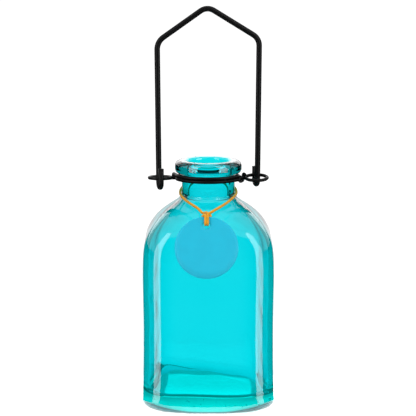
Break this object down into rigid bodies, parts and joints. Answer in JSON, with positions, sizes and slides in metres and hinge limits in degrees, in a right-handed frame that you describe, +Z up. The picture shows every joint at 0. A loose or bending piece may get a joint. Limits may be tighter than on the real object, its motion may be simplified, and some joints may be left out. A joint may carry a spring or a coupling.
{
  "type": "propagation vase",
  "caption": "Square glass bottle with a domed shoulder and a lipped round neck, held by a wire collar with side eyes and a gable-shaped wire bail, with a round card tag on a string.",
  "frame": {"origin": "centre of the bottle's base, on the surface that it stands on", "axes": "+Z up along the bottle's axis, -Y towards the side where the tag hangs, +X to the right seen from that side"},
  "size_m": [0.0694, 0.0755, 0.2074],
  "materials": {
    "glass": "clear turquoise glass, moulded, with small bubbles",
    "wire": "black satin paint on steel wire",
    "string": "yellow-orange twisted thread",
    "card": "turquoise printed card, bare"
  },
  "bodies": {
    "bottle": {"glass_bottle": "glass", "tag_string": "string"},
    "collar": {"collar_wire": "wire"},
    "bail": {"hanger_bail": "wire"},
    "tag": {"string_knot": "string", "hang_tag": "card"}
  },
  "joints": [
    {"name": "collar_swivel", "type": "hinge", "parent": "bottle", "child": "collar", "pos_m": [0, 0, 0.118], "axis": [0, 0, 1], "continuous": true},
    {"name": "bail_swing", "type": "hinge", "parent": "collar", "child": "bail", "pos_m": [0, 0, 0.11851], "axis": [0.9759, 0.2182, 0], "range_deg": [-60, 60]},
    {"name": "tag_lift", "type": "hinge", "parent": "bottle", "child": "tag", "pos_m": [-0.0009, -0.02432, 0.1027], "axis": [-1, 0, 0], "range_deg": [0, 110]}
  ]
}
